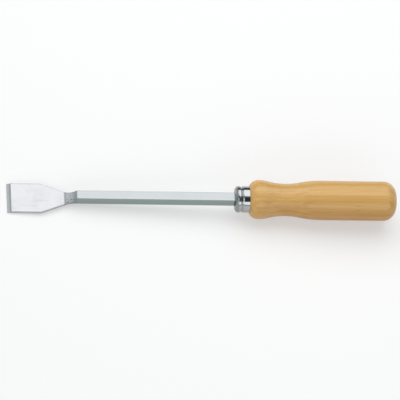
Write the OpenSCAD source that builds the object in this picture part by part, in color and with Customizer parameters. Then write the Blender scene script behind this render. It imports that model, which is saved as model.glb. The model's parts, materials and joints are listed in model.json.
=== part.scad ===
// Gasket scraper: a flat blade forged on a square shank, a ferrule and a turned wooden handle.
// The tool is drawn along its own axis, X from the cutting edge to the butt, Z up from the middle of
// the shank. It is then laid down as it comes to rest, on its cutting edge and the front of the handle.

/* [Blade] */
// Width of the blade across its cutting edge
blade_w = 27.5; // [22:0.5:40]
// Thickness of the blade behind its bevel
blade_t = 2; // [1.4:0.1:3]
// Length of the blade's parallel sides, from the cutting edge
blade_l = 28; // [20:1:45]
// Length over which the sides narrow to the shank
flare_l = 24; // [18:1:36]
// Radius from each parallel side into its flare
shoulder_r = 8; // [2:0.5:14]
// Radius from each flare into the shank
neck_r = 20; // [6:1:24]
// Cut taken off the two corners of the cutting edge, along and across
corner_cut = 0.4; // [0.3:0.1:3]

/* [Cutting edge] */
// Length of the hollow ground bevel
bevel_l = 3.6; // [3:0.1:7]
// Thickness left at the cutting edge
edge_t = 0.4; // [0.2:0.05:0.8]
// Radius of the wheel that ground the bevel
wheel_r = 15; // [12:1:60]

/* [Shank] */
// Side of the square shank
shank_w = 8; // [6:0.5:10]
// Chamfer along the four edges of the shank
shank_edge = 0.3; // [0.2:0.1:1.2]
// Length from the cutting edge to the ferrule
reach = 187; // [120:0.5:260]
// How far the ramp starts ahead of the neck
ramp_lead = 5; // [0:0.5:10]
// Length of the ramp from the blade up to the top of the shank
ramp_l = 10; // [7:0.5:16]
// Radius of the hollow ramp
ramp_r = 60; // [25:1:80]

/* [Tang] */
// Depth of the full square shank inside the ferrule
shank_in = 6; // [3:0.5:9]
// Length of the tapered tang in the handle
tang_l = 65; // [40:1:90]
// Width of the tang at the shank
tang_w = 6; // [4:0.25:6]
// Width of the tang at its tip
tang_tip = 3; // [2:0.25:4]

/* [Ferrule] */
// Outer diameter of the ferrule
ferrule_d = 21.8; // [18:0.2:24]
// Length of the ferrule
ferrule_l = 11.8; // [9:0.1:20]
// Thickness of the ferrule's metal
ferrule_wall = 1; // [0.6:0.1:1.4]
// Radius of the ferrule's rounded front corner
nose_r = 3.2; // [2:0.1:3.4]
// Distance from the ferrule's front to the bottom of its rolled groove
groove_at = 5.5; // [4.5:0.1:6.8]
// Depth of the rolled groove
groove_d = 0.7; // [0.3:0.1:1]
// Length over which the groove rises again towards the handle
groove_rise = 1.4; // [0.8:0.1:2]

/* [Handle] */
// Length of the wood from the ferrule to the butt
handle_l = 122.6; // [100:0.1:150]
// Diameter of the bulge behind the ferrule
bulge_d = 32.3; // [28:0.1:36]
// Radius of the handle's rounded front
front_r = 8.5; // [6.5:0.5:12]
// Diameter of the waist
waist_d = 26.6; // [23:0.1:27.8]
// Distance from the ferrule to the waist
waist_at = 30.1; // [24:0.1:36]
// Radius of the hollow of the waist
waist_hollow = 60; // [20:1:80]
// Diameter of the straight grip
grip_d = 32.5; // [28:0.5:36]
// Distance from the ferrule to the start of the straight grip
grip_at = 58.5; // [48:0.5:70]
// Radius of the butt's corner
butt_r = 10.5; // [6:0.5:13]
// Radius of the butt's dome
dome_r = 36; // [24:1:60]

/* [Fits] */
// Clearance all round between pieces that are driven together
fit = 0.1; // [0.05:0.05:0.3]
// Clearance between the shank's corners and the hole in the ferrule
hole_fit = 0.25; // [0.1:0.05:0.5]

/* [Hidden] */
$fn = 120;
cut = 1; // how far a cutting shape stands clear of what it cuts
arc_step = 7; // most degrees that one chord of a rounded outline spans

// Heights of the forging
shank_top = shank_w / 2;
underside = -shank_w / 2;
blade_top = underside + blade_t;

// Plan of the blade
flare_angle = atan((blade_w - shank_w) / 2 / flare_l);
neck_x = blade_l + flare_l;
shoulder_run = shoulder_r * tan(flare_angle / 2);
neck_run = neck_r * tan(flare_angle / 2);

// Side view of the blade
ramp_foot = [neck_x - ramp_lead, blade_top];
ramp_crest = [ramp_foot[0] + ramp_l, shank_top];
ramp_centre = centre_left(ramp_foot, ramp_crest, ramp_r);
wheel_centre = centre_left([0, underside + edge_t], [bevel_l, blade_top], wheel_r);
forged_l = max(ramp_crest[0], neck_x + neck_run);
shank_end = reach + shank_in;

// Ferrule and its seat on the handle
ferrule_r = ferrule_d / 2;
hole_r = norm([shank_w / 2, shank_w / 2 - shank_edge]) + hole_fit;
seat_x = reach + ferrule_l;

// Stations and radii of the handle, with arcs that run into each other smoothly
bulge_r = bulge_d / 2;
waist_r = waist_d / 2;
grip_r = grip_d / 2;
front_angle = acos((ferrule_r - bulge_r + front_r) / front_r);
bulge_x = seat_x + front_r * sin(front_angle);
waist_x = seat_x + waist_at;
grip_x = seat_x + grip_at;
butt_x = seat_x + handle_l;
front_pair = radius_pair(waist_x - bulge_x, bulge_r - waist_r);
rear_pair = radius_pair(grip_x - waist_x, grip_r - waist_r);
waist_arc = min(waist_hollow, 0.9 * front_pair, 0.9 * rear_pair);
front_swing = asin((waist_x - bulge_x) / front_pair);
rear_swing = asin((grip_x - waist_x) / rear_pair);
dome_x = butt_x - dome_r;
corner_x = dome_x + sqrt(pow(dome_r - butt_r, 2) - pow(grip_r - butt_r, 2));
corner_swing = atan2(corner_x - dome_x, grip_r - butt_r);

// Resting place: the tool tips up until the cutting edge and the handle's front touch the same plane
rest_run = [bulge_x, bulge_r - front_r + underside];
lean = atan2(rest_run[1], rest_run[0]) + asin(front_r / norm(rest_run));
box_front = -(underside + edge_t) * sin(lean);
box_back = dome_x * cos(lean) + dome_r;

// Centre of the circle of radius r through p and q, on the left of the way from p to q
function centre_left(p, q, r) =
    let (d = q - p, half = norm(d) / 2)
    (p + q) / 2 + [-d[1], d[0]] / norm(d) * sqrt(r * r - half * half);

// Sum of the radii of two arcs that meet smoothly and end parallel, a run apart and stepped by a rise
function radius_pair(run, rise) = (run * run + rise * rise) / (2 * rise);

// Points along an arc after its start, which is where the outline before it ends
function bend(centre, r, from, to) =
    let (steps = ceil(abs(to - from) / arc_step))
    [for (i = [1:steps]) let (a = from + (to - from) * i / steps) centre + r * [cos(a), sin(a)]];

function reversed(points) = [for (i = [len(points) - 1:-1:0]) points[i]];

function mirrored(points) = [for (p = reversed(points)) [p[0], -p[1]]];

// One side of the blade seen from above, from the cutting edge to the shank
function blade_side() = concat(
    [[0, blade_w / 2 - corner_cut], [corner_cut, blade_w / 2]],
    [[blade_l - shoulder_run, blade_w / 2]],
    bend([blade_l - shoulder_run, blade_w / 2 - shoulder_r], shoulder_r, 90, 90 - flare_angle),
    [[neck_x, shank_w / 2] - neck_run * [cos(flare_angle), -sin(flare_angle)]],
    bend([neck_x + neck_run, shank_w / 2 + neck_r], neck_r, 270 - flare_angle, 270),
    [[forged_l, shank_w / 2]]
);

// Outline of the ferrule as [radius, station], set inwards by an amount: its outside, its inside or the tenon
function ferrule_line(inset) = concat(
    [[ferrule_r - nose_r, reach + inset]],
    bend([ferrule_r - nose_r, reach + nose_r], nose_r - inset, -90, 0),
    [[ferrule_r - inset - groove_d, reach + groove_at]],
    [[ferrule_r - inset, reach + groove_at + groove_rise]],
    [[ferrule_r - inset, seat_x]]
);

// Outline of the wood outside the ferrule as [radius, station], from its seat to the middle of the butt
function grip_line() = concat(
    [[ferrule_r, seat_x]],
    bend([bulge_r - front_r, bulge_x], front_r, -front_angle, 0),
    bend([bulge_r + waist_arc - front_pair, bulge_x], front_pair - waist_arc, 0, front_swing),
    bend([waist_r + waist_arc, waist_x], waist_arc, 180 + front_swing, 180 - rear_swing),
    bend([grip_r + waist_arc - rear_pair, grip_x], rear_pair - waist_arc, -rear_swing, 0),
    [[grip_r, corner_x]],
    bend([grip_r - butt_r, corner_x], butt_r, 0, corner_swing),
    bend([0, dome_x], dome_r, corner_swing, 90)
);

module laid_down() {
    translate([-(box_front + box_back) / 2, 0, -underside * cos(lean)])
        rotate([0, -lean, 0])
            children();
}

// Turns an outline of [radius, station] about the tool's axis
module turned() {
    rotate([0, 90, 0])
        rotate_extrude()
            children();
}

// Raises a section, drawn across the tool, along the tool's axis
module drawn_bar(from, to) {
    translate([from, 0, 0])
        rotate([90, 0, 90])
            linear_extrude(to - from)
                children();
}

module blade_plan() {
    polygon(concat(blade_side(), mirrored(blade_side())));
}

// Side view of the forging: the dies leave the blade and the ramp, and the wheel grinds the bevel
module blade_profile() {
    difference() {
        translate([0, underside])
            square([forged_l, shank_w]);
        translate([-cut, blade_top])
            square([ramp_centre[0] + cut, shank_w]);
        intersection() {
            translate(ramp_centre)
                circle(ramp_r);
            translate([0, blade_top])
                square([forged_l, shank_w]);
        }
        translate(wheel_centre)
            circle(wheel_r);
    }
}

module shank_section() {
    intersection() {
        square(shank_w, center = true);
        rotate(45)
            square((shank_w - shank_edge) * sqrt(2), center = true);
    }
}

// Square tang that tapers both ways, with room for a clearance all round
module tang(room) {
    taper = [
        [shank_end, -tang_w / 2 - room],
        [shank_end + tang_l + room, -tang_tip / 2 - room],
        [shank_end + tang_l + room, tang_tip / 2 + room],
        [shank_end, tang_w / 2 + room]
    ];
    intersection() {
        linear_extrude(shank_w, center = true)
            polygon(taper);
        rotate([90, 0, 0])
            linear_extrude(shank_w, center = true)
                polygon(taper);
    }
}

module blade_shank() {
    color([0.82, 0.84, 0.86]) laid_down() {
        intersection() {
            linear_extrude(shank_w, center = true)
                blade_plan();
            rotate([90, 0, 0])
                linear_extrude(blade_w + cut, center = true)
                    blade_profile();
        }
        drawn_bar(forged_l, shank_end)
            shank_section();
        tang(0);
    }
}

module ferrule() {
    lip = bend([hole_r + ferrule_wall, reach + ferrule_wall], ferrule_wall, 180, 270);
    color([0.74, 0.77, 0.78]) laid_down() turned()
        polygon(concat(
            [[hole_r, reach + ferrule_wall]],
            lip,
            ferrule_line(0),
            reversed(ferrule_line(ferrule_wall))
        ));
}

module handle() {
    tenon_inset = ferrule_wall + fit;
    tenon_front = reach + tenon_inset;
    color([0.79, 0.63, 0.40]) laid_down()
        difference() {
            turned()
                polygon(concat([[0, tenon_front]], ferrule_line(tenon_inset), grip_line()));
            drawn_bar(tenon_front - cut, shank_end + fit)
                square(shank_w + 2 * fit, center = true);
            tang(fit);
        }
}

blade_shank();
ferrule();
handle();
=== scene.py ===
import json
import math

import bmesh
import bpy
from bpy.props import FloatProperty, FloatVectorProperty, PointerProperty
from mathutils import Matrix, Vector


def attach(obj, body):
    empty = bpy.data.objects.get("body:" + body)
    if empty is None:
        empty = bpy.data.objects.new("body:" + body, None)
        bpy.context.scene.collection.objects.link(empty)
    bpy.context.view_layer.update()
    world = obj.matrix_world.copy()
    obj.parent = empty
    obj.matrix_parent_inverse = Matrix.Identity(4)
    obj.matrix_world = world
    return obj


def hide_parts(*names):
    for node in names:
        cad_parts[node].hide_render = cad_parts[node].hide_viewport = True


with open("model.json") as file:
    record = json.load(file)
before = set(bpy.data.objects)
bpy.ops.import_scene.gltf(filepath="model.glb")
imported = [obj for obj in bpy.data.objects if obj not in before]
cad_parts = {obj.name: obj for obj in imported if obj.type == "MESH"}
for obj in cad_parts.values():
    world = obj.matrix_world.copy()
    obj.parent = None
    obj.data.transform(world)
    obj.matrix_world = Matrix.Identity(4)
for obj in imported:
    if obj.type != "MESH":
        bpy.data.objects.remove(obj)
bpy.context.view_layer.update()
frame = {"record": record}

bl_info = {
    "name": "Gasket scraper",
    "version": (1, 0, 0),
    "blender": (4, 5, 0),
    "location": "3D View > Sidebar > Scraper",
    "description": "Models a gasket scraper: forged blade and shank, ferrule, wooden handle and stage",
    "category": "Add Mesh",
}

MM = 0.001

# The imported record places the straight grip, so the tool's own axis follows from it.
# In the tool's own frame X runs from the cutting edge to the butt, in the middle of the shank,
# and Z is up.
GRIP = next(m for m in frame["record"]["mounts"] if m["name"] == "handle_grip")
ALONG = Vector(GRIP["axis"]).normalized()
ACROSS = Vector((0, 1, 0))
UP = ALONG.cross(ACROSS)
LEAN = math.atan2(ALONG.z, ALONG.x)

# Fineness of the meshes
ROUND_STEPS = 96
ARC_STEP = math.radians(3)
EDGE_SEGMENTS = 6
CORNER_SEGMENTS = 8
SHARP_ANGLE = math.radians(19)
FLAT_WEIGHT = 100
MERGE = 1e-6

# Sections along each stretch of the forging, and how far from a crease an extra one lies
CUT_SPANS = 2
BEVEL_SPANS = 8
SHOULDER_SPANS = 6
NECK_SPANS = 2
RAMP_SPANS = 16
CREASE_GAP = 0.4 * MM

# Faces of the bevel that look up more than this belong to the ground side.
FACING_UP = 0.5

# Share of the bevel's thickness that the rounding of an edge may take
THIN_SHARE = 0.3

# Where the shank becomes the tang, in the forging and in its socket
SHANK_CHAMFER = 0.4 * MM
SHOULDER_STEP = 0.1 * MM
TANG_EDGE_SHARE = 0.5
SOCKET_EDGE = 0.2 * MM


# Sizes and colours


def length(name, description, millimetres):
    """Makes a length property from millimetres."""
    return FloatProperty(
        name=name,
        description=description,
        default=millimetres * MM,
        min=0,
        precision=5,
        subtype="DISTANCE",
        unit="LENGTH",
    )


def colour(name, description, red, green, blue):
    """Makes a colour property from linear values."""
    return FloatVectorProperty(
        name=name,
        description=description,
        default=(red, green, blue),
        min=0,
        max=1,
        subtype="COLOR",
    )


def number(name, description, value):
    """Makes a property without a unit."""
    return FloatProperty(name=name, description=description, default=value, min=0)


def degrees(name, description, value):
    """Makes an angle property from degrees."""
    return FloatProperty(
        name=name,
        description=description,
        default=math.radians(value),
        subtype="ANGLE",
        unit="ROTATION",
    )


class BladeSizes(bpy.types.PropertyGroup):
    """Sizes of the forging, from its cutting edge to the end of its tang"""

    blade_width: length("Blade width", "Width across the cutting edge", 27.5)
    blade_thickness: length("Blade thickness", "Thickness behind the bevel", 2)
    blade_length: length("Blade length", "Length of the parallel sides", 28)
    flare_length: length("Flare length", "Length over which the sides narrow", 24)
    shoulder_radius: length("Shoulder radius", "From each side into its flare", 8)
    neck_radius: length("Neck radius", "From each flare into the shank", 20)
    corner_cut: length("Corner cut", "Cut across each corner of the edge", 0.4)
    bevel_length: length("Bevel length", "Length of the hollow ground bevel", 3.6)
    edge_thickness: length("Edge thickness", "Thickness at the cutting edge", 0.4)
    wheel_radius: length("Wheel radius", "Radius of the hollow grind", 15)
    ramp_start: length("Ramp start", "From the cutting edge to the ramp", 47)
    ramp_length: length("Ramp length", "From the ramp's foot to its crest", 10)
    ramp_radius: length("Ramp radius", "Radius of the hollow ramp", 60)
    shank_width: length("Shank width", "Side of the square shank", 8)
    shank_length: length("Shank length", "From the cutting edge to the tang", 193)
    tang_length: length("Tang length", "Length of the tapered tang", 65)
    tang_width: length("Tang width", "Width of the tang at the shank", 6)
    tang_tip: length("Tang tip", "Width of the tang at its tip", 3)
    blade_edge: length("Blade edge", "Rounding of the blade's upper edges", 0.6)
    blade_foot: length("Blade foot", "Rounding of the blade's lower edges", 0.3)
    ramp_swell: length("Ramp swell", "Extra rounding halfway up the ramp's edges", 0.7)
    shank_edge: length("Shank edge", "Rounding of the shank's edges", 0.4)


class FerruleSizes(bpy.types.PropertyGroup):
    """Sizes of the ferrule and of the tenon inside it"""

    reach: length("Reach", "From the cutting edge to the ferrule", 187)
    width: length("Diameter", "Outer diameter", 21.8)
    depth: length("Length", "Length along the tool", 11.8)
    wall: length("Wall", "Thickness of the metal", 1)
    hole: length("Hole radius", "Radius of the hole for the shank", 5.699)
    nose_radius: length("Nose radius", "Radius of the rounded front", 3.2)
    swell_run: length("Swell run", "From the rounded front to the groove's front flank", 0.6)
    groove_at: length("Groove place", "From the front to the groove", 5.5)
    groove_depth: length("Groove depth", "Depth of the rolled groove", 0.7)
    groove_rise: length("Groove rise", "Length of the groove's rear flank", 1.4)
    fit: length("Fit", "Clearance between pieces driven together", 0.1)
    lip_radius: length("Lip radius", "Rounding of the edges of the hole", 0.45)
    swell_radius: length("Swell radius", "Rounding in front of the groove", 3)
    groove_radius: length("Groove radius", "Rounding of the bottom of the groove", 0.8)
    rise_radius: length("Rise radius", "Rounding behind the groove", 0.9)
    rim_radius: length("Rim radius", "Rounding of the rear end outside", 0.3)
    inner_rim: length("Inner rim radius", "Rounding of the rear end inside", 0.2)
    inner_swell: length("Inner swell radius", "Rounding in front of the groove inside", 2)
    inner_nose: length("Inner nose radius", "Rounding of the front inside", 1.4)


class HandleSizes(bpy.types.PropertyGroup):
    """Sizes of the wood, measured from the rear of the ferrule"""

    handle_length: length("Length", "From the ferrule to the butt", 122.6)
    bulge: length("Bulge", "Diameter of the bulge behind the ferrule", 32.3)
    front_radius: length("Front radius", "Radius of the rounded front", 8.5)
    waist: length("Waist", "Diameter of the waist", 26.6)
    waist_at: length("Waist place", "From the ferrule to the waist", 30.1)
    waist_radius: length("Waist radius", "Radius of the hollow of the waist", 60)
    grip: length("Grip", "Diameter of the straight grip", 32.5)
    grip_at: length("Grip place", "From the ferrule to the straight grip", 58.5)
    butt_radius: length("Butt radius", "Radius of the butt's corner", 10.5)
    dome_radius: length("Dome radius", "Radius of the butt's dome", 36)


class FinishColours(bpy.types.PropertyGroup):
    """Colours of the finishes"""

    steel: colour("Steel", "Satin plating of the forging", 0.461, 0.462, 0.480)
    steel_dull: colour("Dull steel", "Drawn shank, and streaks in the plating", 0.358, 0.380, 0.387)
    # Painted shade: the darker colour of the shank's sides
    shank_side_painted_shade: colour("Shank sides", "Darker sides of the drawn shank", 0.284, 0.350, 0.340)
    # Scale specks are the forging's own; the same dark colour also paints shade at the ramp's foot and
    # crest and at the bevel's heel.
    scale: colour("Forging scale", "Dark specks that the dies leave on the ramp", 0.120, 0.135, 0.140)
    chrome: colour("Chrome", "Polished metal of the ferrule", 0.435, 0.448, 0.446)
    # Painted shade: the darker colour on the ferrule's rounded front and in its groove
    chrome_painted_shade: colour("Dull chrome", "Rounded front of the ferrule", 0.270, 0.300, 0.298)
    wood_pale: colour("Pale wood", "Early wood", 0.872, 0.582, 0.216)
    # Late wood, and also the painted shade on the wood's lower front side
    wood_deep_and_shade: colour("Deep wood", "Late wood", 0.555, 0.272, 0.070)
    wood_fleck: colour("Fleck", "Short dark flecks in the wood", 0.360, 0.190, 0.065)
    floor: colour("Floor", "Pale floor", 0.600, 0.600, 0.600)


class StageSettings(bpy.types.PropertyGroup):
    """Camera, lights and floor"""

    height_angle: degrees("Height angle", "Camera above the blade's plane", 57.9)
    yaw: degrees("Yaw", "How far the camera leans towards the blade", 7.5)
    roll: degrees("Roll", "Turn of the camera about its view", 0.79)
    distance: length("Distance", "From the camera to the tool", 3200)
    focal: number("Focal length", "In millimetres, on a 36 mm sensor", 351.9)
    aim: length("Aim", "Point on the axis that the camera looks at", 158.4)
    aim_drop: length("Aim drop", "How far the camera's view sits below that point", 1.02)
    key_light: number("Key light", "Brightness of the large panel behind", 1.42)
    front_light: number("Front light", "Brightness of the low panel in front", 1.35)
    floor_lift: number("Floor lift", "White added to the floor as it is seen", 0.41)


# Modelling helpers


def tool_matrix():
    """Carries the tool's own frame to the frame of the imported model."""
    scene = bpy.context.scene
    handle = scene.scraper_handle
    ferrule = scene.scraper_ferrule
    half_grip = GRIP["dims"]["length_mm"] * MM / 2
    middle = ferrule.reach + ferrule.depth + handle.grip_at + half_grip
    return (
        Matrix.Translation(GRIP["pos_m"])
        @ Matrix.Rotation(-LEAN, 4, "Y")
        @ Matrix.Translation((-middle, 0, 0))
    )


def centre_above(first, last, radius):
    """Centre of the circle through two points of a side view, on its upper side."""
    chord = last - first
    half = chord.length / 2
    normal = Vector((-chord.y, chord.x)).normalized()
    return (first + last) / 2 + normal * math.sqrt(radius**2 - half**2)


def stations_between(start, end, count):
    """Stations that split a stretch of the tool evenly, both ends included."""
    return [start + (end - start) * i / count for i in range(count + 1)]


def add_section(bm, station, half_width, low, high, low_radius, high_radius):
    """Draws one rounded rectangle across the tool and returns its edges."""
    before = set(bm.edges)
    corners = ((-1, low), (1, low), (1, high), (-1, high))
    verts = [bm.verts.new((station, side * half_width, z)) for side, z in corners]
    bm.faces.new(verts)
    for pair, radius in ((verts[:2], low_radius), (verts[2:], high_radius)):
        bmesh.ops.bevel(
            bm,
            geom=pair,
            affect="VERTICES",
            offset_type="OFFSET",
            offset=radius,
            segments=EDGE_SEGMENTS,
            profile=0.5,
            material=-1,
        )
    edges = [e for e in bm.edges if e not in before]
    bmesh.ops.delete(bm, geom=list(edges[0].link_faces), context="FACES_ONLY")
    return edges


def join_sections(bm, sections, ends):
    """Joins neighbouring sections with faces, closes the given ends, and turns all faces outwards."""
    for first, last in zip(sections, sections[1:]):
        bmesh.ops.bridge_loops(bm, edges=first + last)
    for end in ends:
        bmesh.ops.contextual_create(bm, geom=end)
    bmesh.ops.recalc_face_normals(bm, faces=bm.faces)


def line_to(bm, vert, station, radius):
    """Extends an outline by a straight line and returns its new end."""
    end = bmesh.ops.extrude_vert_indiv(bm, verts=[vert])["verts"][0]
    end.co = (station, 0, radius)
    return end


def arc_to(bm, vert, centre, turn):
    """Extends an outline by an arc about a centre and returns its new end."""
    made = bmesh.ops.spin(
        bm,
        geom=[vert],
        cent=(centre[0], 0, centre[1]),
        axis=(0, 1, 0),
        angle=turn,
        steps=max(2, math.ceil(abs(turn) / ARC_STEP)),
    )
    return next(v for v in made["geom_last"] if isinstance(v, bmesh.types.BMVert))


def round_corner(bm, vert, radius, segments):
    """Rounds one corner of a flat outline."""
    first, last = [(e.other_vert(vert).co - vert.co) for e in vert.link_edges]
    turn = math.pi - first.angle(last)
    bmesh.ops.bevel(
        bm,
        geom=[vert],
        affect="VERTICES",
        offset_type="OFFSET",
        offset=radius * math.tan(turn / 2),
        segments=segments,
        profile=0.5,
        material=-1,
    )


def lathe(bm):
    """Turns the outline in the bmesh about the tool's axis into a skin."""
    bmesh.ops.spin(
        bm,
        geom=list(bm.verts) + list(bm.edges),
        cent=(0, 0, 0),
        axis=(1, 0, 0),
        angle=2 * math.pi,
        steps=ROUND_STEPS,
        use_merge=True,
    )
    bmesh.ops.remove_doubles(bm, verts=bm.verts, dist=MERGE)
    bmesh.ops.recalc_face_normals(bm, faces=bm.faces)


def make_object(bm, name):
    """Lays the finished bmesh down in the model's frame as an object."""
    bm.transform(tool_matrix())
    mesh = bpy.data.meshes.new(name)
    bm.to_mesh(mesh)
    bm.free()
    mesh.shade_smooth()
    mesh.set_sharp_from_angle(angle=SHARP_ANGLE)
    piece = bpy.data.objects.new(name, mesh)
    bpy.context.scene.collection.objects.link(piece)
    return piece


def weigh_normals(piece):
    """Keeps the broad faces flat in shading beside their rounded edges."""
    modifier = piece.modifiers.new("flat_faces", "WEIGHTED_NORMAL")
    modifier.mode = "FACE_AREA"
    modifier.weight = FLAT_WEIGHT
    modifier.keep_sharp = True


def place_piece(piece, node):
    """Puts a piece on the part's body, in the place of its CAD node."""
    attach(piece, "root")
    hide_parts(node)


# Material helpers


def add_node(tree, kind, values=None, **settings):
    """Adds a node with its settings and the constants of its sockets."""
    node = tree.nodes.new(kind)
    for key, value in settings.items():
        setattr(node, key, value)
    for key, value in (values or {}).items():
        node.inputs[key].default_value = value
    return node


def feed(tree, output, node, socket):
    """Links an output to a socket of a node."""
    tree.links.new(output, node.inputs[socket])


def start_group(name, inputs, outputs):
    """Returns a shared node group, with its input and output nodes when it is new."""
    if name in bpy.data.node_groups:
        return bpy.data.node_groups[name], None, None
    group = bpy.data.node_groups.new(name, "ShaderNodeTree")
    for socket, kind in inputs:
        group.interface.new_socket(socket, in_out="INPUT", socket_type=kind)
    for socket, kind in outputs:
        group.interface.new_socket(socket, in_out="OUTPUT", socket_type=kind)
    entry = group.nodes.new("NodeGroupInput")
    leave = group.nodes.new("NodeGroupOutput")
    return group, entry, leave


def place_group(tree, group, vector, values):
    """Adds a shared node group that reads a position, and returns its first output."""
    node = tree.nodes.new("ShaderNodeGroup")
    node.node_tree = group
    for key, value in values.items():
        node.inputs[key].default_value = value
    feed(tree, vector, node, "Vector")
    return node.outputs[0]


def drawn_lines_group():
    """Fine lines that run along one direction: the pattern is squeezed by a scale on each axis."""
    group, entry, leave = start_group(
        "drawn_lines",
        [("Vector", "NodeSocketVector"), ("Density", "NodeSocketVector")],
        [("Lines", "NodeSocketFloat")],
    )
    if entry is not None:
        squeeze = add_node(group, "ShaderNodeVectorMath", operation="MULTIPLY")
        noise = add_node(group, "ShaderNodeTexNoise", {"Scale": 1.0, "Detail": 4.0, "Roughness": 0.62})
        spread = add_node(group, "ShaderNodeMapRange", {"From Min": 0.3, "From Max": 0.7})
        feed(group, entry.outputs["Vector"], squeeze, 0)
        feed(group, entry.outputs["Density"], squeeze, 1)
        feed(group, squeeze.outputs["Vector"], noise, "Vector")
        feed(group, noise.outputs["Fac"], spread, "Value")
        feed(group, spread.outputs["Result"], leave, "Lines")
    return group


def handling_marks_group():
    """Soft uneven patches, such as handling leaves on plating and lacquer."""
    group, entry, leave = start_group(
        "handling_marks",
        [("Vector", "NodeSocketVector"), ("Scale", "NodeSocketFloat")],
        [("Marks", "NodeSocketFloat")],
    )
    if entry is not None:
        noise = add_node(group, "ShaderNodeTexNoise", {"Detail": 5.0, "Roughness": 0.55, "Distortion": 0.4})
        spread = add_node(
            group,
            "ShaderNodeMapRange",
            {"From Min": 0.35, "From Max": 0.7},
            interpolation_type="SMOOTHSTEP",
        )
        feed(group, entry.outputs["Vector"], noise, "Vector")
        feed(group, entry.outputs["Scale"], noise, "Scale")
        feed(group, noise.outputs["Fac"], spread, "Value")
        feed(group, spread.outputs["Result"], leave, "Marks")
    return group


def lines_at(tree, vector, density):
    """Adds fine lines and returns their strength."""
    return place_group(tree, drawn_lines_group(), vector, {"Density": density})


def marks_at(tree, vector, scale):
    """Adds soft patches and returns their strength."""
    return place_group(tree, handling_marks_group(), vector, {"Scale": scale})


def start_material(name):
    """Returns a material with its shader, and the position in the tool's own frame."""
    material = bpy.data.materials.new(name)
    material.use_nodes = True
    tree = material.node_tree
    shader = tree.nodes["Principled BSDF"]
    place = tool_matrix().to_translation()
    position = add_node(tree, "ShaderNodeTexCoord")
    turn = add_node(
        tree,
        "ShaderNodeMapping",
        {"Location": place, "Rotation": (0, -LEAN, 0)},
        vector_type="TEXTURE",
    )
    feed(tree, position.outputs["Object"], turn, "Vector")
    return material, tree, shader, turn.outputs["Vector"]


def mix_colour(tree, factor, first, last):
    """Mixes two colours, each a constant or the output of a node."""
    mix = add_node(tree, "ShaderNodeMix", data_type="RGBA")

    # Set to colours, the node has its factor at 0, the two colours at 6 and 7, and its result at 2.
    tree.links.new(factor, mix.inputs[0])
    for socket, value in ((mix.inputs[6], first), (mix.inputs[7], last)):
        if isinstance(value, bpy.types.NodeSocket):
            tree.links.new(value, socket)
        else:
            socket.default_value = (*value, 1)
    return mix.outputs[2]


def span(tree, value, low, high, from_low=0.0, from_high=1.0):
    """Maps a value from one range to another, and holds it at the ends."""
    node = add_node(
        tree,
        "ShaderNodeMapRange",
        {"From Min": from_low, "From Max": from_high, "To Min": low, "To Max": high},
    )
    feed(tree, value, node, "Value")
    return node.outputs["Result"]


def compute(tree, operation, first, last=None):
    """Works out one or two numbers, each a constant or the output of a node."""
    node = add_node(tree, "ShaderNodeMath", operation=operation)
    for socket, value in zip(node.inputs, (first, last)):
        if isinstance(value, bpy.types.NodeSocket):
            tree.links.new(value, socket)
        elif value is not None:
            socket.default_value = value
    return node.outputs[0]


def compute_vector(tree, operation, vector, constant, result="Vector"):
    """Works out a vector and a constant one."""
    node = add_node(tree, "ShaderNodeVectorMath", {1: constant}, operation=operation)
    feed(tree, vector, node, 0)
    return node.outputs[result]


def split(tree, vector):
    """Returns how far a position lies along, across and up the tool."""
    node = add_node(tree, "ShaderNodeSeparateXYZ")
    feed(tree, vector, node, "Vector")
    return tuple(node.outputs)


def bump_shader(tree, shader, height, strength):
    """Lets a pattern disturb the shader's normal."""
    bump = add_node(tree, "ShaderNodeBump", {"Strength": strength, "Distance": BUMP_DEPTH})
    feed(tree, height, bump, "Height")
    feed(tree, bump.outputs["Normal"], shader, "Normal")


# Finishes

BUMP_DEPTH = 0.1 * MM

# Lines, as repeats per metre along, across and up the tool
BAR_LINES = (28, 900, 900)
BEVEL_LINES = (90, 2600, 300)
FERRULE_LINES = (5000, 30, 30)
WOOD_FIBRES = (22, 1100, 1100)
WOOD_BANDS = (4, 230, 230)
WOOD_FLECKS = (75, 900, 900)
RING_WAVER = (6, 45, 45)

# Patches, as repeats per metre
PLATING_MARKS = 60.0
SCALE_SPECKS = 520.0
CHROME_MARKS = 140.0
LACQUER_MARKS = 45.0

# Plating: how much the drawn shank and the streaks dull it, and where painted shade darkens its sides
DRAWN_SHARE = 0.9
DRAWN_FROM = 3 * MM
STREAK_SHARE = 0.8
PAINTED_SIDE_SHADE_FROM = 0.4 * MM
PAINTED_SIDE_SHADE_FULL = 0.1 * MM
SATIN_ROUGHNESS = (0.22, 0.31)
DRAWN_GLOSS = 0.08
PLATING_BUMP = 0.06

# Scale: specks all over the ramp, and painted shade at its foot and towards its crest
RAMP_BLUR = 1 * MM
SPECK_SHARE = 0.60
SPECK_FROM = 0.66
PAINTED_CREST_SHADE = 0.36
PAINTED_CREST_SHADE_FROM = 5 * MM
PAINTED_FOOT_SHADE = 0.42
PAINTED_FOOT_SHADE_FULL = 0.5 * MM
PAINTED_FOOT_SHADE_END = 2.6 * MM

# Bevel: how much painted shade darkens it at its edge and at its heel, and between which shares of its
# length
PAINTED_HEEL_SHADE_SHARES = (0.06, 0.34)
HEEL_FROM = 0.5
HEEL_FULL = 0.7
GROUND_ROUGHNESS = (0.20, 0.32)
GROUND_BUMP = 0.10

# Ferrule: where the painted shade on the rounded front ends, and how far the painted shade in the groove
# reaches to each side
MARKED_CHROME = 0.93
PAINTED_NOSE_SHADE_FULL = 1.2 * MM
PAINTED_NOSE_SHADE_END = 0.4 * MM
PAINTED_GROOVE_SHADE = 0.9
PAINTED_GROOVE_SHADE_FULL = 0.4 * MM
PAINTED_GROOVE_SHADE_END = 1.1 * MM
CHROME_ROUGHNESS = (0.05, 0.11)
NOSE_ROUGHNESS = 0.15
CHROME_BUMP = 0.02
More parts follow.
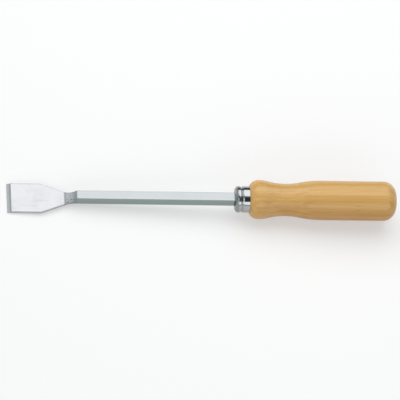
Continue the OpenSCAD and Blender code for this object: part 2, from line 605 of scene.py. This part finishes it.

# Wood: growth rings round a pith outside the handle, and a darker lower front side, partly the wood's
# deeper colour and partly painted shade, though less so at the front, in lengths from the ferrule
PITH = (0, 46 * MM, -52 * MM)
RING_STRETCH = (0.05, 1, 1)
RING_DRIFT = 3.5 * MM
RING_WIDTH = 3.1 * MM
LATE_POWER = 3.0
LATE_SHARE = 0.16
BAND_SHARES = (0.09, 0.61)
DEEP_AND_SHADED_SIDE = (0, -0.9, -0.4)
DEEP_AND_SHADE_SHARE = 0.44
DEEP_AND_SHADE_FROM = 1 * MM
DEEP_AND_SHADE_FULL = 14 * MM
FRONT_SHARE = 0.3
FRONT_END = 12 * MM
FRONT_PAST = 28 * MM
FIBRE_SHARE = 0.42
FLECK_SHARE = 0.45
FLECK_FROM = 0.76
WOOD_ROUGHNESS = (0.40, 0.52)
WOOD_BUMP = 0.10
LACQUER_WEIGHT = (0.95, 0.75)
LACQUER_ROUGHNESS = 0.22
LACQUER_IOR = 1.5


def plated_steel():
    """Satin plating, duller and lined along the drawn shank, with painted shade on the shank's sides, scale
    specks on the forged ramp, and painted shade at the ramp's foot and towards its crest.
    """
    colours = bpy.context.scene.scraper_finish
    size = bpy.context.scene.scraper_blade
    material, tree, shader, vector = start_material("plated_steel")
    along, across, _ = split(tree, vector)
    foot = size.ramp_start
    crest = foot + size.ramp_length
    flank = size.shank_width / 2

    lines = lines_at(tree, vector, BAR_LINES)
    streaks = compute(tree, "MULTIPLY", lines, marks_at(tree, vector, PLATING_MARKS))
    drawn = span(tree, along, 0.0, DRAWN_SHARE, foot + DRAWN_FROM, crest + RAMP_BLUR)
    tone = mix_colour(tree, drawn, colours.steel, colours.steel_dull)
    tone = mix_colour(tree, span(tree, streaks, 0.0, STREAK_SHARE), tone, colours.steel_dull)
    # Painted shade darkens the sides of the shank.
    aside = compute(tree, "ABSOLUTE", across)
    side = span(tree, aside, 0.0, 1.0, flank - PAINTED_SIDE_SHADE_FROM, flank - PAINTED_SIDE_SHADE_FULL)
    tone = mix_colour(tree, compute(tree, "MULTIPLY", side, drawn), tone, colours.shank_side_painted_shade)

    rising = span(tree, along, 0.0, 1.0, foot - RAMP_BLUR, foot + RAMP_BLUR)
    ending = span(tree, along, 1.0, 0.0, crest - RAMP_BLUR, crest + RAMP_BLUR)
    ramp = compute(tree, "MULTIPLY", rising, ending)
    specks = span(tree, marks_at(tree, vector, SCALE_SPECKS), 0.0, SPECK_SHARE, SPECK_FROM, 1.0)
    # Painted shade at the ramp's foot and towards its crest, in the colour of the scale; the specks are
    # real.
    upper = span(tree, along, 0.0, PAINTED_CREST_SHADE, foot + PAINTED_CREST_SHADE_FROM, crest)
    lower = span(tree, along, PAINTED_FOOT_SHADE, 0.0, foot + PAINTED_FOOT_SHADE_FULL, foot + PAINTED_FOOT_SHADE_END)
    scale = compute(tree, "MAXIMUM", specks, compute(tree, "MAXIMUM", upper, lower))
    tone = mix_colour(tree, compute(tree, "MULTIPLY", ramp, scale), tone, colours.scale)
    feed(tree, tone, shader, "Base Color")

    satin = span(tree, streaks, *SATIN_ROUGHNESS)
    gloss = span(tree, drawn, 0.0, DRAWN_GLOSS)
    feed(tree, compute(tree, "SUBTRACT", satin, gloss), shader, "Roughness")
    shader.inputs["Metallic"].default_value = 1
    bump_shader(tree, shader, lines, PLATING_BUMP)
    return material


def ground_steel():
    """Ground bevel with painted shade darkening it towards its heel, and with the wheel's marks running
    away from the edge.
    """
    colours = bpy.context.scene.scraper_finish
    bevel = bpy.context.scene.scraper_blade.bevel_length
    material, tree, shader, vector = start_material("ground_steel")
    along = split(tree, vector)[0]
    lines = lines_at(tree, vector, BEVEL_LINES)
    tone = mix_colour(tree, lines, colours.steel, colours.steel_dull)
    # Painted shade darkens the bevel towards its heel.
    heel = span(tree, along, *PAINTED_HEEL_SHADE_SHARES, HEEL_FROM * bevel, HEEL_FULL * bevel)
    tone = mix_colour(tree, heel, tone, colours.scale)
    feed(tree, tone, shader, "Base Color")
    feed(tree, span(tree, lines, *GROUND_ROUGHNESS), shader, "Roughness")
    shader.inputs["Metallic"].default_value = 1
    bump_shader(tree, shader, lines, GROUND_BUMP)
    return material


def ferrule_chrome():
    """Polished metal, rougher and with painted shade on the rounded front, painted shade in the groove, and
    faint lines round the ferrule.
    """
    colours = bpy.context.scene.scraper_finish
    size = bpy.context.scene.scraper_ferrule
    material, tree, shader, vector = start_material("ferrule_chrome")
    along = split(tree, vector)[0]
    lines = lines_at(tree, vector, FERRULE_LINES)
    marks = marks_at(tree, vector, CHROME_MARKS)
    marked = [part * MARKED_CHROME for part in colours.chrome]
    tone = mix_colour(tree, marks, colours.chrome, marked)
    # Painted shade darkens the rounded front and the groove.
    nose_end = size.reach + size.nose_radius
    nose = span(tree, along, 1.0, 0.0, nose_end - PAINTED_NOSE_SHADE_FULL, nose_end + PAINTED_NOSE_SHADE_END)
    groove = size.reach + size.groove_at
    off_groove = compute(tree, "ABSOLUTE", compute(tree, "SUBTRACT", along, groove))
    hollow = span(tree, off_groove, PAINTED_GROOVE_SHADE, 0.0, PAINTED_GROOVE_SHADE_FULL, PAINTED_GROOVE_SHADE_END)
    tone = mix_colour(tree, compute(tree, "MAXIMUM", nose, hollow), tone, colours.chrome_painted_shade)
    feed(tree, tone, shader, "Base Color")
    polish = span(tree, marks, *CHROME_ROUGHNESS)
    satin = span(tree, nose, 0.0, NOSE_ROUGHNESS)
    feed(tree, compute(tree, "ADD", polish, satin), shader, "Roughness")
    shader.inputs["Metallic"].default_value = 1
    bump_shader(tree, shader, lines, CHROME_BUMP)
    return material


def lacquered_wood():
    """Fine grained wood as a solid block: growth rings, bands, fibres, flecks, and a darker lower front
    side that is partly its own colour and partly painted shade, under clear lacquer.
    """
    colours = bpy.context.scene.scraper_finish
    cup = bpy.context.scene.scraper_ferrule
    seat = cup.reach + cup.depth
    material, tree, shader, vector = start_material("lacquered_wood")
    along = split(tree, vector)[0]

    # The rings waver along the length.
    drift = add_node(tree, "ShaderNodeTexNoise", {"Scale": 1.0, "Detail": 2.0})
    feed(tree, compute_vector(tree, "MULTIPLY", vector, RING_WAVER), drift, "Vector")
    warp = span(tree, drift.outputs["Fac"], -RING_DRIFT, RING_DRIFT)
    from_pith = compute_vector(tree, "SUBTRACT", vector, PITH)
    away = add_node(tree, "ShaderNodeVectorMath", operation="LENGTH")
    feed(tree, compute_vector(tree, "MULTIPLY", from_pith, RING_STRETCH), away, 0)
    ring_at = compute(tree, "ADD", away.outputs["Value"], warp)
    ring = compute(tree, "FRACT", compute(tree, "DIVIDE", ring_at, RING_WIDTH))
    late = span(tree, compute(tree, "POWER", ring, LATE_POWER), 0.0, LATE_SHARE)

    fibres = lines_at(tree, vector, WOOD_FIBRES)
    bands = span(tree, lines_at(tree, vector, WOOD_BANDS), *BAND_SHARES)
    flecks = span(tree, lines_at(tree, vector, WOOD_FLECKS), 0.0, FLECK_SHARE, FLECK_FROM, 1.0)
    # Darker lower front side: partly the wood's deeper colour, partly painted shade
    towards = compute_vector(tree, "DOT_PRODUCT", vector, DEEP_AND_SHADED_SIDE, "Value")
    side = span(tree, towards, 0.0, DEEP_AND_SHADE_SHARE, DEEP_AND_SHADE_FROM, DEEP_AND_SHADE_FULL)
    behind = span(tree, along, FRONT_SHARE, 1.0, seat + FRONT_END, seat + FRONT_PAST)
    side = compute(tree, "MULTIPLY", side, behind)
    deep = compute(tree, "ADD", compute(tree, "ADD", late, bands), side)
    tone = mix_colour(tree, deep, colours.wood_pale, colours.wood_deep_and_shade)
    tone = mix_colour(tree, span(tree, fibres, 0.0, FIBRE_SHARE), tone, colours.wood_deep_and_shade)
    tone = mix_colour(tree, flecks, tone, colours.wood_fleck)
    feed(tree, tone, shader, "Base Color")

    feed(tree, span(tree, fibres, *WOOD_ROUGHNESS), shader, "Roughness")
    marks = marks_at(tree, vector, LACQUER_MARKS)
    feed(tree, span(tree, marks, *LACQUER_WEIGHT), shader, "Coat Weight")
    shader.inputs["Coat Roughness"].default_value = LACQUER_ROUGHNESS
    shader.inputs["Coat IOR"].default_value = LACQUER_IOR
    shader.inputs["Specular IOR Level"].default_value = 0
    bump_shader(tree, shader, fibres, WOOD_BUMP)
    return material


# Pieces


class SCRAPER_OT_forge_blade(bpy.types.Operator):
    """Forge the blade, ramp, square shank and tang as one piece"""

    bl_idname = "scraper.forge_blade"
    bl_label = "Forge blade and shank"

    def execute(self, context):
        size = context.scene.scraper_blade
        half_shank = size.shank_width / 2
        low = -half_shank
        blade_top = low + size.blade_thickness
        half_blade = size.blade_width / 2

        # The plan: shoulder and neck are arcs at the two ends of a straight flare.
        flare = math.atan((half_blade - half_shank) / size.flare_length)
        shoulder_run = size.shoulder_radius * math.tan(flare / 2)
        shoulder_in = size.blade_length - shoulder_run
        shoulder_out = size.blade_length + shoulder_run * math.cos(flare)
        neck = size.blade_length + size.flare_length
        neck_run = size.neck_radius * math.tan(flare / 2)
        neck_in = neck - neck_run * math.cos(flare)
        neck_out = neck + neck_run

        # The side view: bevel and ramp are hollow arcs.
        edge = Vector((0, low + size.edge_thickness))
        heel = Vector((size.bevel_length, blade_top))
        wheel_centre = centre_above(edge, heel, size.wheel_radius)
        foot = Vector((size.ramp_start, blade_top))
        crest = Vector((size.ramp_start + size.ramp_length, half_shank))
        ramp_centre = centre_above(foot, crest, size.ramp_radius)

        def half_width(x):
            """Half the width of the forging seen from above."""
            if x < size.corner_cut:
                return half_blade - size.corner_cut + x
            if x < shoulder_in:
                return half_blade
            if x < shoulder_out:
                rise = size.shoulder_radius**2 - (x - shoulder_in) ** 2
                return half_blade - size.shoulder_radius + math.sqrt(rise)
            if x < neck_in:
                return half_shank + (neck - x) * math.tan(flare)
            if x < neck_out:
                rise = size.neck_radius**2 - (neck_out - x) ** 2
                return half_shank + size.neck_radius - math.sqrt(rise)
            return half_shank

        def top(x):
            """Height of the forging seen from the side."""
            if x < heel.x:
                return wheel_centre.y - math.sqrt(size.wheel_radius**2 - (x - wheel_centre.x) ** 2)
            if x <= foot.x:
                return blade_top
            if x < crest.x:
                return ramp_centre.y - math.sqrt(size.ramp_radius**2 - (x - ramp_centre.x) ** 2)
            return half_shank

        def top_edge(x):
            """Rounding of the upper edges: fine on the blade, fuller up the ramp."""
            if x < heel.x:
                return min(size.blade_edge, THIN_SHARE * (top(x) - low))
            if x < foot.x:
                return size.blade_edge
            share = min(1, (x - foot.x) / (crest.x - foot.x))
            swell = size.ramp_swell * math.sin(math.pi * share)
            return size.blade_edge + (size.shank_edge - size.blade_edge) * share + swell

        def low_edge(x):
            """Rounding of the lower edges."""
            if x < heel.x:
                return min(size.blade_foot, THIN_SHARE * (top(x) - low))
            share = min(1, max(0, x - foot.x) / (crest.x - foot.x))
            return size.blade_foot + (size.shank_edge - size.blade_foot) * share

        stations = sorted(
            set(
                stations_between(0, size.corner_cut, CUT_SPANS)
                + stations_between(size.corner_cut, heel.x, BEVEL_SPANS)
                + stations_between(shoulder_in, shoulder_out, SHOULDER_SPANS)
                + stations_between(neck_in, foot.x, NECK_SPANS)
                + stations_between(foot.x, crest.x, RAMP_SPANS)
                + [heel.x + CREASE_GAP, foot.x - CREASE_GAP, crest.x + CREASE_GAP]
            )
        )
        bm = bmesh.new()
        sections = [
            add_section(bm, x, half_width(x), low, top(x), low_edge(x), top_edge(x)) for x in stations
        ]
        end = size.shank_length
        tang_edge = size.shank_edge * TANG_EDGE_SHARE
        for x, half, radius in (
            (end - SHANK_CHAMFER, half_shank, size.shank_edge),
            (end, half_shank - SHANK_CHAMFER, size.shank_edge),
            (end + SHOULDER_STEP, size.tang_width / 2, tang_edge),
            (end + size.tang_length, size.tang_tip / 2, tang_edge),
        ):
            sections.append(add_section(bm, x, half, -half, half, radius, radius))
        join_sections(bm, sections, (sections[0], sections[-1]))

        # The second material is the ground bevel's.
        for face in bm.faces:
            middle = face.calc_center_median()
            face.material_index = int(middle.x < heel.x and face.normal.z > FACING_UP)
        piece = make_object(bm, "blade_forging")
        piece.data.materials.append(plated_steel())
        piece.data.materials.append(ground_steel())
        weigh_normals(piece)
        place_piece(piece, "blade_shank")
        return {"FINISHED"}


class SCRAPER_OT_draw_ferrule(bpy.types.Operator):
    """Draw the ferrule: a cup with a rounded front, a turned-in lip and a rolled groove"""

    bl_idname = "scraper.draw_ferrule"
    bl_label = "Draw ferrule"

    def execute(self, context):
        size = context.scene.scraper_ferrule
        front = size.reach
        outer = size.width / 2
        inner = outer - size.wall
        groove = front + size.groove_at
        rise = groove + size.groove_rise
        rear = front + size.depth
        swell = front + size.nose_radius + size.swell_run

        # Corners of the outline, each with its station, its distance from the axis and its rounding
        corners = [
            (front, size.hole, size.lip_radius),
            (front, outer, size.nose_radius),
            (swell, outer, size.swell_radius),
            (groove, outer - size.groove_depth, size.groove_radius),
            (rise, outer, size.rise_radius),
            (rear, outer, size.rim_radius),
            (rear, inner, size.inner_rim),
            (rise, inner, size.rise_radius),
            (groove, inner - size.groove_depth, size.groove_radius),
            (swell, inner, size.inner_swell),
            (front + size.wall, inner, size.inner_nose),
            (front + size.wall, size.hole, size.lip_radius),
        ]
        bm = bmesh.new()
        verts = [bm.verts.new((x, 0, r)) for x, r, _ in corners]
        bm.faces.new(verts)
        for vert, (_, _, radius) in zip(verts, corners):
            round_corner(bm, vert, radius, CORNER_SEGMENTS)
        bmesh.ops.delete(bm, geom=list(bm.faces), context="FACES_ONLY")
        lathe(bm)
        piece = make_object(bm, "ferrule_cup")
        piece.data.materials.append(ferrule_chrome())
        weigh_normals(piece)
        place_piece(piece, "ferrule")
        return {"FINISHED"}


class SCRAPER_OT_turn_handle(bpy.types.Operator):
    """Turn the handle with its tenon, and cut the socket for the shank and tang"""

    bl_idname = "scraper.turn_handle"
    bl_label = "Turn handle"

    def execute(self, context):
        scene = context.scene
        size = scene.scraper_handle
        cup = scene.scraper_ferrule
        blade = scene.scraper_blade
        seat = cup.reach + cup.depth
        cup_radius = cup.width / 2
        inset = cup.wall + cup.fit
        tenon = cup_radius - inset
        tenon_front = cup.reach + inset
        nose = cup.nose_radius - inset

        bulge, waist, grip = size.bulge / 2, size.waist / 2, size.grip / 2
        front_turn = math.acos((cup_radius - bulge + size.front_radius) / size.front_radius)
        bulge_x = seat + size.front_radius * math.sin(front_turn)
        waist_x = seat + size.waist_at
        grip_x = seat + size.grip_at
        butt_x = seat + size.handle_length

        def radius_pair(run, drop):
            """Sum of the radii of two arcs that meet smoothly and end parallel."""
            return (run**2 + drop**2) / (2 * drop)

        front_pair = radius_pair(waist_x - bulge_x, bulge - waist)
        rear_pair = radius_pair(grip_x - waist_x, grip - waist)
        hollow = size.waist_radius
        front_swing = math.asin((waist_x - bulge_x) / front_pair)
        rear_swing = math.asin((grip_x - waist_x) / rear_pair)
        dome_x = butt_x - size.dome_radius
        inside = grip - size.butt_radius
        corner_x = dome_x + math.sqrt((size.dome_radius - size.butt_radius) ** 2 - inside**2)
        corner_turn = math.atan2(corner_x - dome_x, inside)

        bm = bmesh.new()
        end = bm.verts.new((tenon_front, 0, tenon - nose))
        end = arc_to(bm, end, (tenon_front + nose, tenon - nose), math.pi / 2)
        end = line_to(bm, end, cup.reach + cup.groove_at, tenon - cup.groove_depth)
        end = line_to(bm, end, cup.reach + cup.groove_at + cup.groove_rise, tenon)
        end = line_to(bm, end, seat, tenon)
        end = line_to(bm, end, seat, cup_radius)
        end = arc_to(bm, end, (bulge_x, bulge - size.front_radius), front_turn)
        end = arc_to(bm, end, (bulge_x, bulge + hollow - front_pair), front_swing)
        end = arc_to(bm, end, (waist_x, waist + hollow), -front_swing - rear_swing)
        end = arc_to(bm, end, (grip_x, grip + hollow - rear_pair), rear_swing)
        end = line_to(bm, end, corner_x, grip)
        end = arc_to(bm, end, (corner_x, inside), corner_turn)
        arc_to(bm, end, (dome_x, 0), math.pi / 2 - corner_turn)
        lathe(bm)

        # The socket runs in from the rim that the lathe leaves open at the front of the tenon.
        rim = [edge for edge in bm.edges if edge.is_boundary]
        half_shank = blade.shank_width / 2 + cup.fit
        deep = blade.shank_length + cup.fit
        socket = [
            add_section(bm, x, half, -half, half, SOCKET_EDGE, SOCKET_EDGE)
            for x, half in (
                (tenon_front, half_shank),
                (deep, half_shank),
                (deep + SHOULDER_STEP, blade.tang_width / 2 + cup.fit),
                (deep + blade.tang_length, blade.tang_tip / 2 + cup.fit),
            )
        ]
        bmesh.ops.triangle_fill(bm, edges=rim + socket[0], use_beauty=True)
        join_sections(bm, socket, socket[-1:])
        piece = make_object(bm, "wood_handle")
        piece.data.materials.append(lacquered_wood())
        place_piece(piece, "handle")
        return {"FINISHED"}


# Stage

# Floor: half its side in metres, and its finish
FLOOR_REACH = 8
FLOOR_ROUGHNESS = 0.9
WHITE = (1, 1, 1, 1)

# Panels: direction from the tool, place and size, in metres
KEY_OUT = (0.462 * ACROSS + 0.887 * UP).normalized()
KEY_PLACE = KEY_OUT * 1.05 + 0.12 * ALONG
KEY_SIZE = (1.35, 1.25)
FRONT_OUT = (-0.92 * ACROSS + 0.39 * UP).normalized()
FRONT_PLACE = FRONT_OUT * 1.3
FRONT_SIZE = (2.6, 0.58)

# The room and its patches: direction, degrees within which a patch is full and where it ends, colour
ROOM_TONE = (0.46, 0.465, 0.47)
ROOM_PATCHES = (
    ((-0.62, 0.45, 0.62), 5, 34, (1.14, 1.18, 1.20)),
    ((-0.53, -0.41, 0.57), 6, 18, (1.35, 1.38, 1.38)),
    ((0.78, -0.33, 0.52), 14, 30, (0.08, 0.084, 0.084)),
    ((-0.37, -0.05, 0.93), 10, 24, (0.08, 0.084, 0.084)),
    ((0, 0.98, 0.16), 18, 36, (0.09, 0.094, 0.094)),
)
RING_PATCH = (14, 25, (0.05, 0.054, 0.054))

SENSOR_WIDTH = 36


class SCRAPER_OT_set_stage(bpy.types.Operator):
    """Set the floor, the soft light and the camera"""

    bl_idname = "scraper.set_stage"
    bl_label = "Set stage"

    def execute(self, context):
        scene = context.scene
        stage = scene.scraper_stage
        self.lay_floor(scene, stage)
        self.hang_panels(scene, stage)
        self.light_room(scene, stage)
        self.aim_camera(scene, stage)
        scene.view_settings.view_transform = "Standard"
        return {"FINISHED"}

    def lay_floor(self, scene, stage):
        """The floor is matt, and looks nearly white to the camera and in reflections."""
        bm = bmesh.new()
        bmesh.ops.create_grid(bm, x_segments=1, y_segments=1, size=FLOOR_REACH)
        mesh = bpy.data.meshes.new("floor")
        bm.to_mesh(mesh)
        bm.free()
        floor = bpy.data.objects.new("floor", mesh)
        scene.collection.objects.link(floor)
        material = bpy.data.materials.new("pale_floor")
        material.use_nodes = True
        tree = material.node_tree
        shader = tree.nodes["Principled BSDF"]
        shader.inputs["Base Color"].default_value = (*scene.scraper_finish.floor, 1)
        shader.inputs["Roughness"].default_value = FLOOR_ROUGHNESS
        shader.inputs["Specular IOR Level"].default_value = 0
        shader.inputs["Emission Color"].default_value = WHITE
        path = add_node(tree, "ShaderNodeLightPath")
        seen = compute(tree, "ADD", path.outputs["Is Camera Ray"], path.outputs["Is Glossy Ray"])
        seen = compute(tree, "ADD", seen, path.outputs["Is Transmission Ray"])
        lift = compute(tree, "MULTIPLY", compute(tree, "MINIMUM", seen, 1.0), stage.floor_lift)
        feed(tree, lift, shader, "Emission Strength")
        mesh.materials.append(material)

    def hang_panels(self, scene, stage):
        """The key panel hangs where the flat of the blade mirrors it to the camera. A low one faces it."""
        self.hang_panel(scene, "key_panel", KEY_PLACE, KEY_OUT, KEY_SIZE, stage.key_light)
        self.hang_panel(scene, "front_panel", FRONT_PLACE, FRONT_OUT, FRONT_SIZE, stage.front_light)

    def hang_panel(self, scene, name, place, out, size, brightness):
        """Hangs one panel lengthwise, facing the tool. Its power follows from its size."""
        light = bpy.data.lights.new(name, "AREA")
        light.shape = "RECTANGLE"
        light.size, light.size_y = size
        light.energy = brightness * math.pi * light.size * light.size_y
        panel = bpy.data.objects.new(name, light)
        facing = Matrix((ALONG, out.cross(ALONG), out)).transposed().to_4x4()
        panel.matrix_world = Matrix.Translation(place) @ facing
        scene.collection.objects.link(panel)

    def light_room(self, scene, stage):
        """The room is pale, with two lighter patches at the blade's end and dark ones as from flags."""
        world = bpy.data.worlds.new("studio_room")
        scene.world = world
        world.use_nodes = True
        tree = world.node_tree
        where = add_node(tree, "ShaderNodeTexCoord").outputs["Generated"]
        tone = ROOM_TONE
        for middle, inner, outer, patch in (*ROOM_PATCHES, (self.mirrored_view(stage), *RING_PATCH)):
            towards = compute_vector(tree, "DOT_PRODUCT", where, Vector(middle).normalized(), "Value")
            edge = (math.cos(math.radians(outer)), math.cos(math.radians(inner)))
            tone = mix_colour(tree, span(tree, towards, 0.0, 1.0, *edge), tone, patch)
        feed(tree, tone, tree.nodes["Background"], "Color")

    def view_back(self, stage):
        """Direction from the tool to the camera."""
        side = -math.cos(stage.height_angle) * ACROSS + math.sin(stage.height_angle) * UP
        return (math.cos(stage.yaw) * side - math.sin(stage.yaw) * ALONG).normalized()

    def mirrored_view(self, stage):
        """Direction in which the rings of the ferrule mirror the camera's view."""
        back = self.view_back(stage)
        return back - 2 * back.dot(ALONG) * ALONG

    def aim_camera(self, scene, stage):
        """The camera looks at a point on the tool's axis, which lies nearly level in its picture."""
        lens = bpy.data.cameras.new("camera")
        lens.sensor_width = SENSOR_WIDTH
        lens.lens = stage.focal
        camera = bpy.data.objects.new("camera", lens)
        back = self.view_back(stage)
        right = (ALONG - ALONG.dot(back) * back).normalized()
        up = back.cross(right)
        turned = math.cos(stage.roll) * right + math.sin(stage.roll) * up
        up = back.cross(turned)
        place = tool_matrix() @ Vector((stage.aim, 0, 0)) + back * stage.distance - up * stage.aim_drop
        facing = Matrix((turned, up, back)).transposed().to_4x4()
        camera.matrix_world = Matrix.Translation(place) @ facing
        scene.collection.objects.link(camera)
        scene.camera = camera


class SCRAPER_PT_sidebar(bpy.types.Panel):
    """Sizes, finishes and steps of the gasket scraper"""

    bl_idname = "SCRAPER_PT_sidebar"
    bl_label = "Gasket scraper"
    bl_space_type = "VIEW_3D"
    bl_region_type = "UI"
    bl_category = "Scraper"

    def draw(self, context):
        for operator in OPERATORS:
            self.layout.operator(operator.bl_idname)
        for name in GROUPS:
            group = getattr(context.scene, name)
            box = self.layout.box()
            for key in group.bl_rna.properties.keys():
                if key not in ("rna_type", "name"):
                    box.prop(group, key)


GROUPS = {
    "scraper_blade": BladeSizes,
    "scraper_ferrule": FerruleSizes,
    "scraper_handle": HandleSizes,
    "scraper_finish": FinishColours,
    "scraper_stage": StageSettings,
}
OPERATORS = (
    SCRAPER_OT_forge_blade,
    SCRAPER_OT_draw_ferrule,
    SCRAPER_OT_turn_handle,
    SCRAPER_OT_set_stage,
)


def register():
    for name, group in GROUPS.items():
        bpy.utils.register_class(group)
        setattr(bpy.types.Scene, name, PointerProperty(type=group))
    for operator in OPERATORS:
        bpy.utils.register_class(operator)
    bpy.utils.register_class(SCRAPER_PT_sidebar)


def unregister():
    bpy.utils.unregister_class(SCRAPER_PT_sidebar)
    for operator in reversed(OPERATORS):
        bpy.utils.unregister_class(operator)
    for name, group in reversed(GROUPS.items()):
        delattr(bpy.types.Scene, name)
        bpy.utils.unregister_class(group)


def main():
    register()
    bpy.ops.scraper.forge_blade()
    bpy.ops.scraper.draw_ferrule()
    bpy.ops.scraper.turn_handle()
    bpy.ops.scraper.set_stage()


if __name__ == "__main__":
    main()
